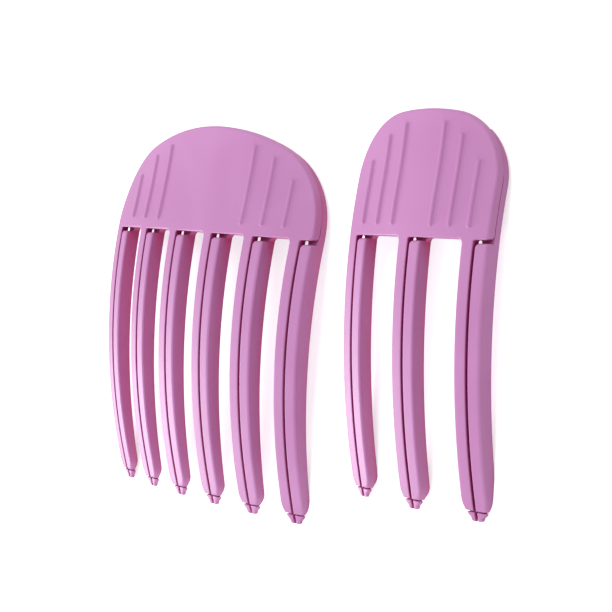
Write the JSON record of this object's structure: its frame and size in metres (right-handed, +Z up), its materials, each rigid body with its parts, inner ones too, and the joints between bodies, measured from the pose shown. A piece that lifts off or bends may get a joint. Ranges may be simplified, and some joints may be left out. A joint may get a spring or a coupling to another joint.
{
  "type": "root volumizing hair clip",
  "caption": "Comb-like hair root clips in a wide and a narrow size: nested front and rear combs with split tines, hinged behind the head on a sprung pin.",
  "frame": {"origin": "middle of both clips' footprint, on the surface that they lie on with the convex fronts up", "axes": "+Y along the tines towards the heads, +X across the tines towards the narrow clip, +Z up out of the convex fronts"},
  "size_m": [0.1336, 0.0954, 0.0121],
  "materials": {
    "clip_plastic": "satin orchid pink, moulded through",
    "pin_steel": "plain drawn steel",
    "spring_steel": "drawn spring wire"
  },
  "bodies": {
    "front_combs": {"wide_front_comb": "clip_plastic", "wide_hinge_pin": "pin_steel", "wide_torsion_spring": "spring_steel", "narrow_front_comb": "clip_plastic", "narrow_hinge_pin": "pin_steel", "narrow_torsion_spring": "spring_steel"},
    "wide_rear": {"wide_rear_comb": "clip_plastic"},
    "narrow_rear": {"narrow_rear_comb": "clip_plastic"}
  },
  "joints": [
    {"name": "wide_comb_hinge", "type": "hinge", "parent": "front_combs", "child": "wide_rear", "pos_m": [-0.02758, 0.0401, 0.00398], "axis": [1, 0, 0], "range_deg": [0, 20], "stiffness_Nm_per_rad": 0.02, "springref_deg": -28.65, "deforming": ["wide_torsion_spring"]},
    {"name": "narrow_comb_hinge", "type": "hinge", "parent": "front_combs", "child": "narrow_rear", "pos_m": [0.04493, 0.04376, 0.0027], "axis": [0.9998, 0.0175, 0], "range_deg": [0, 20], "stiffness_Nm_per_rad": 0.012, "springref_deg": -28.65, "deforming": ["narrow_torsion_spring"]}
  ]
}
